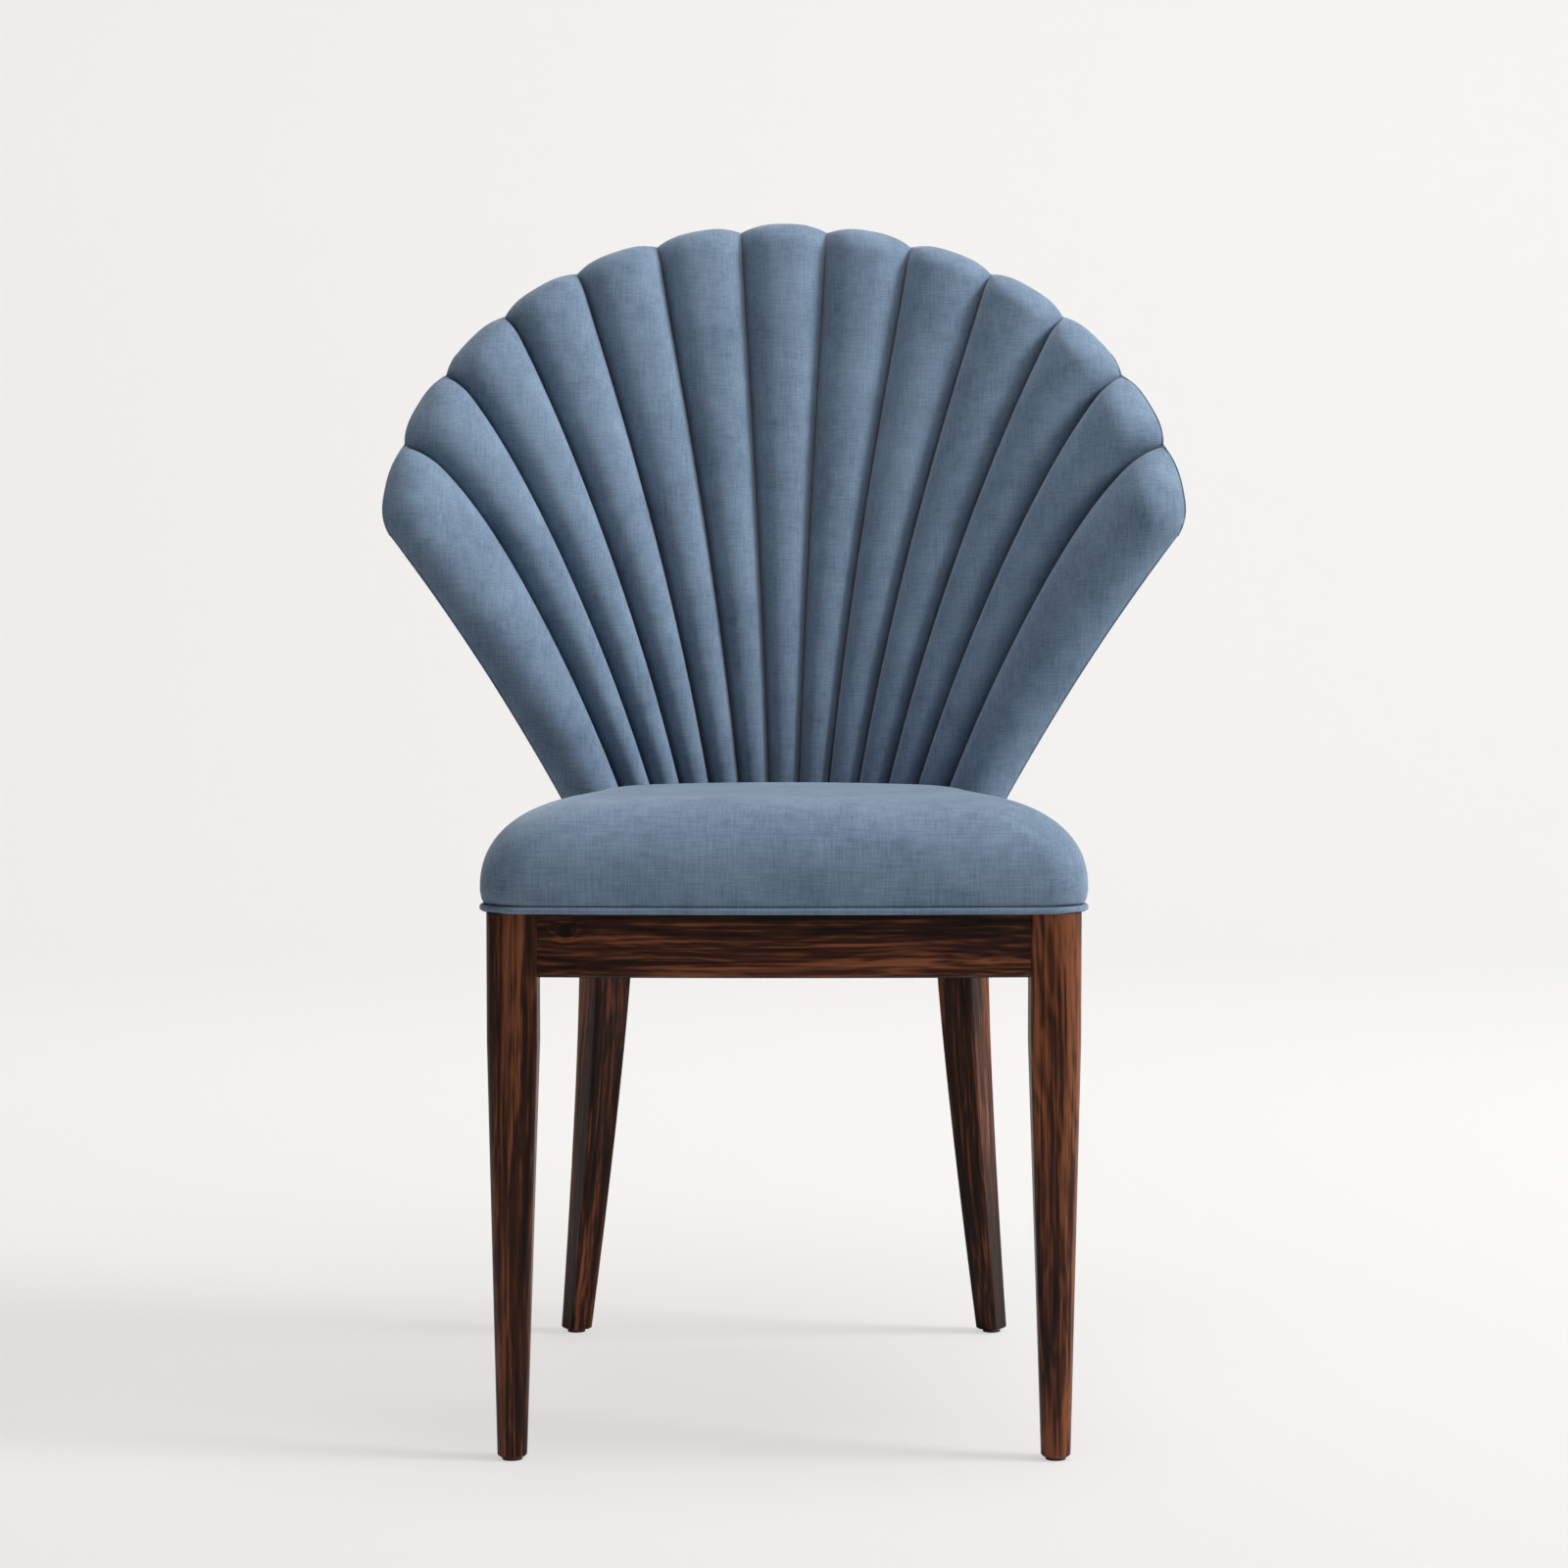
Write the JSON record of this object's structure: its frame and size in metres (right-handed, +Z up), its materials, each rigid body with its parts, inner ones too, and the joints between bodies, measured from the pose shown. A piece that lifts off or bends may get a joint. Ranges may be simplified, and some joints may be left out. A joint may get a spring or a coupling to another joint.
{
  "type": "upholstered dining chair",
  "caption": "Upholstered side chair: fan-shaped concave back with scalloped vertical channels, crowned piped seat, hardwood frame with tapered front legs and swept rear legs.",
  "frame": {"origin": "middle of the footprint of the chair's overall box, on the floor", "axes": "+Z up, front of the chair towards -Y, +X to the right as seen from the front"},
  "size_m": [0.66, 0.593, 0.9512],
  "materials": {
    "walnut": "satin oiled dark reddish-brown hardwood, streaked grain",
    "beech": "unfinished beech, planed",
    "plywood": "unfinished birch plywood",
    "blue_cloth": "dusty blue plain-weave linen-look upholstery cloth with a soft sheen",
    "foam": "open-cell polyurethane foam",
    "lining": "black non-woven bottoming cloth",
    "glide_nylon": "dark brown moulded nylon",
    "steel": "zinc-plated steel"
  },
  "bodies": {
    "root": {"front_leg_left": "walnut", "rear_leg_left": "walnut", "side_rail_left": "walnut", "corner_block_front_left": "beech", "corner_block_rear_left": "beech", "glide_front_left": "glide_nylon", "glide_rear_left": "glide_nylon", "front_leg_right": "walnut", "rear_leg_right": "walnut", "side_rail_right": "walnut", "corner_block_front_right": "beech", "corner_block_rear_right": "beech", "glide_front_right": "glide_nylon", "glide_rear_right": "glide_nylon", "front_rail": "walnut", "rear_rail": "walnut", "rail_dowels": "beech", "corner_block_screws": "beech", "seat_bolts": "steel", "seat_tee_nuts": "steel", "back_bolts": "steel", "back_washers": "steel", "back_tee_nuts": "steel", "seat_board": "plywood", "seat_foam": "foam", "seat_cover": "blue_cloth", "seat_piping": "blue_cloth", "dust_cover": "lining", "back_shell": "plywood", "outside_back": "blue_cloth", "edge_welt": "blue_cloth", "channel_cover_01": "blue_cloth", "channel_foam_01": "foam", "channel_cover_02": "blue_cloth", "channel_foam_02": "foam", "channel_cover_03": "blue_cloth", "channel_foam_03": "foam", "channel_cover_04": "blue_cloth", "channel_foam_04": "foam", "channel_cover_05": "blue_cloth", "channel_foam_05": "foam", "channel_cover_06": "blue_cloth", "channel_foam_06": "foam", "channel_cover_07": "blue_cloth", "channel_foam_07": "foam", "channel_cover_08": "blue_cloth", "channel_foam_08": "foam", "channel_cover_09": "blue_cloth", "channel_foam_09": "foam", "channel_cover_10": "blue_cloth", "channel_foam_10": "foam", "channel_cover_11": "blue_cloth", "channel_foam_11": "foam", "channel_cover_12": "blue_cloth", "channel_foam_12": "foam", "channel_cover_13": "blue_cloth", "channel_foam_13": "foam"}
  },
  "joints": []
}
